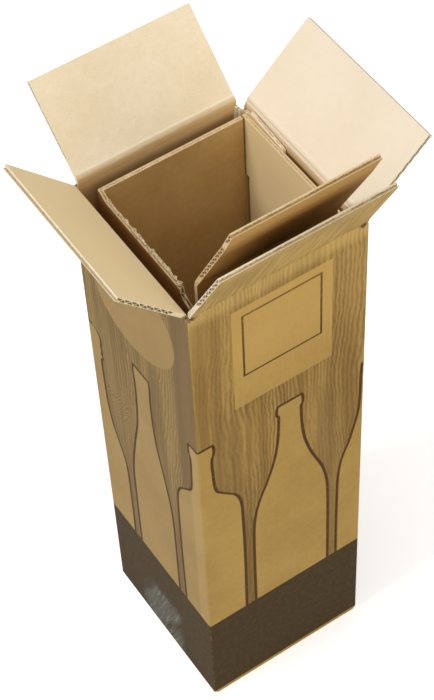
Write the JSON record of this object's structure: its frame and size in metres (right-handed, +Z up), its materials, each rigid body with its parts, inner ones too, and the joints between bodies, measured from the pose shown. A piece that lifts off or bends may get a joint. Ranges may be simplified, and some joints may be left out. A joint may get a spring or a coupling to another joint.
{
  "type": "bottle shipping box",
  "caption": "Tall corrugated cardboard shipping box for a single bottle, with open top flaps and a loose folded inner sleeve whose long flap stands up.",
  "frame": {"origin": "middle of the underside of the closed bottom", "axes": "+Z up; +X along the front wall from left to right; +Y from the front wall to the back wall"},
  "size_m": [0.2128, 0.1995, 0.5183],
  "materials": {
    "carton_board": "matte",
    "sleeve_board": "matte"
  },
  "bodies": {
    "carton": {"outer_carton": "carton_board", "inner_sleeve": "sleeve_board"},
    "front_flap": {"front_flap": "carton_board"},
    "back_flap": {"back_flap": "carton_board"}
  },
  "joints": [
    {"name": "front_flap_fold", "type": "hinge", "parent": "carton", "child": "front_flap", "pos_m": [0, -0.06315, 0.43865], "axis": [-1, 0, 0], "range_deg": [-151, 6]},
    {"name": "back_flap_fold", "type": "hinge", "parent": "carton", "child": "back_flap", "pos_m": [0, 0.06315, 0.43865], "axis": [1, 0, 0], "range_deg": [-128, 138]}
  ]
}
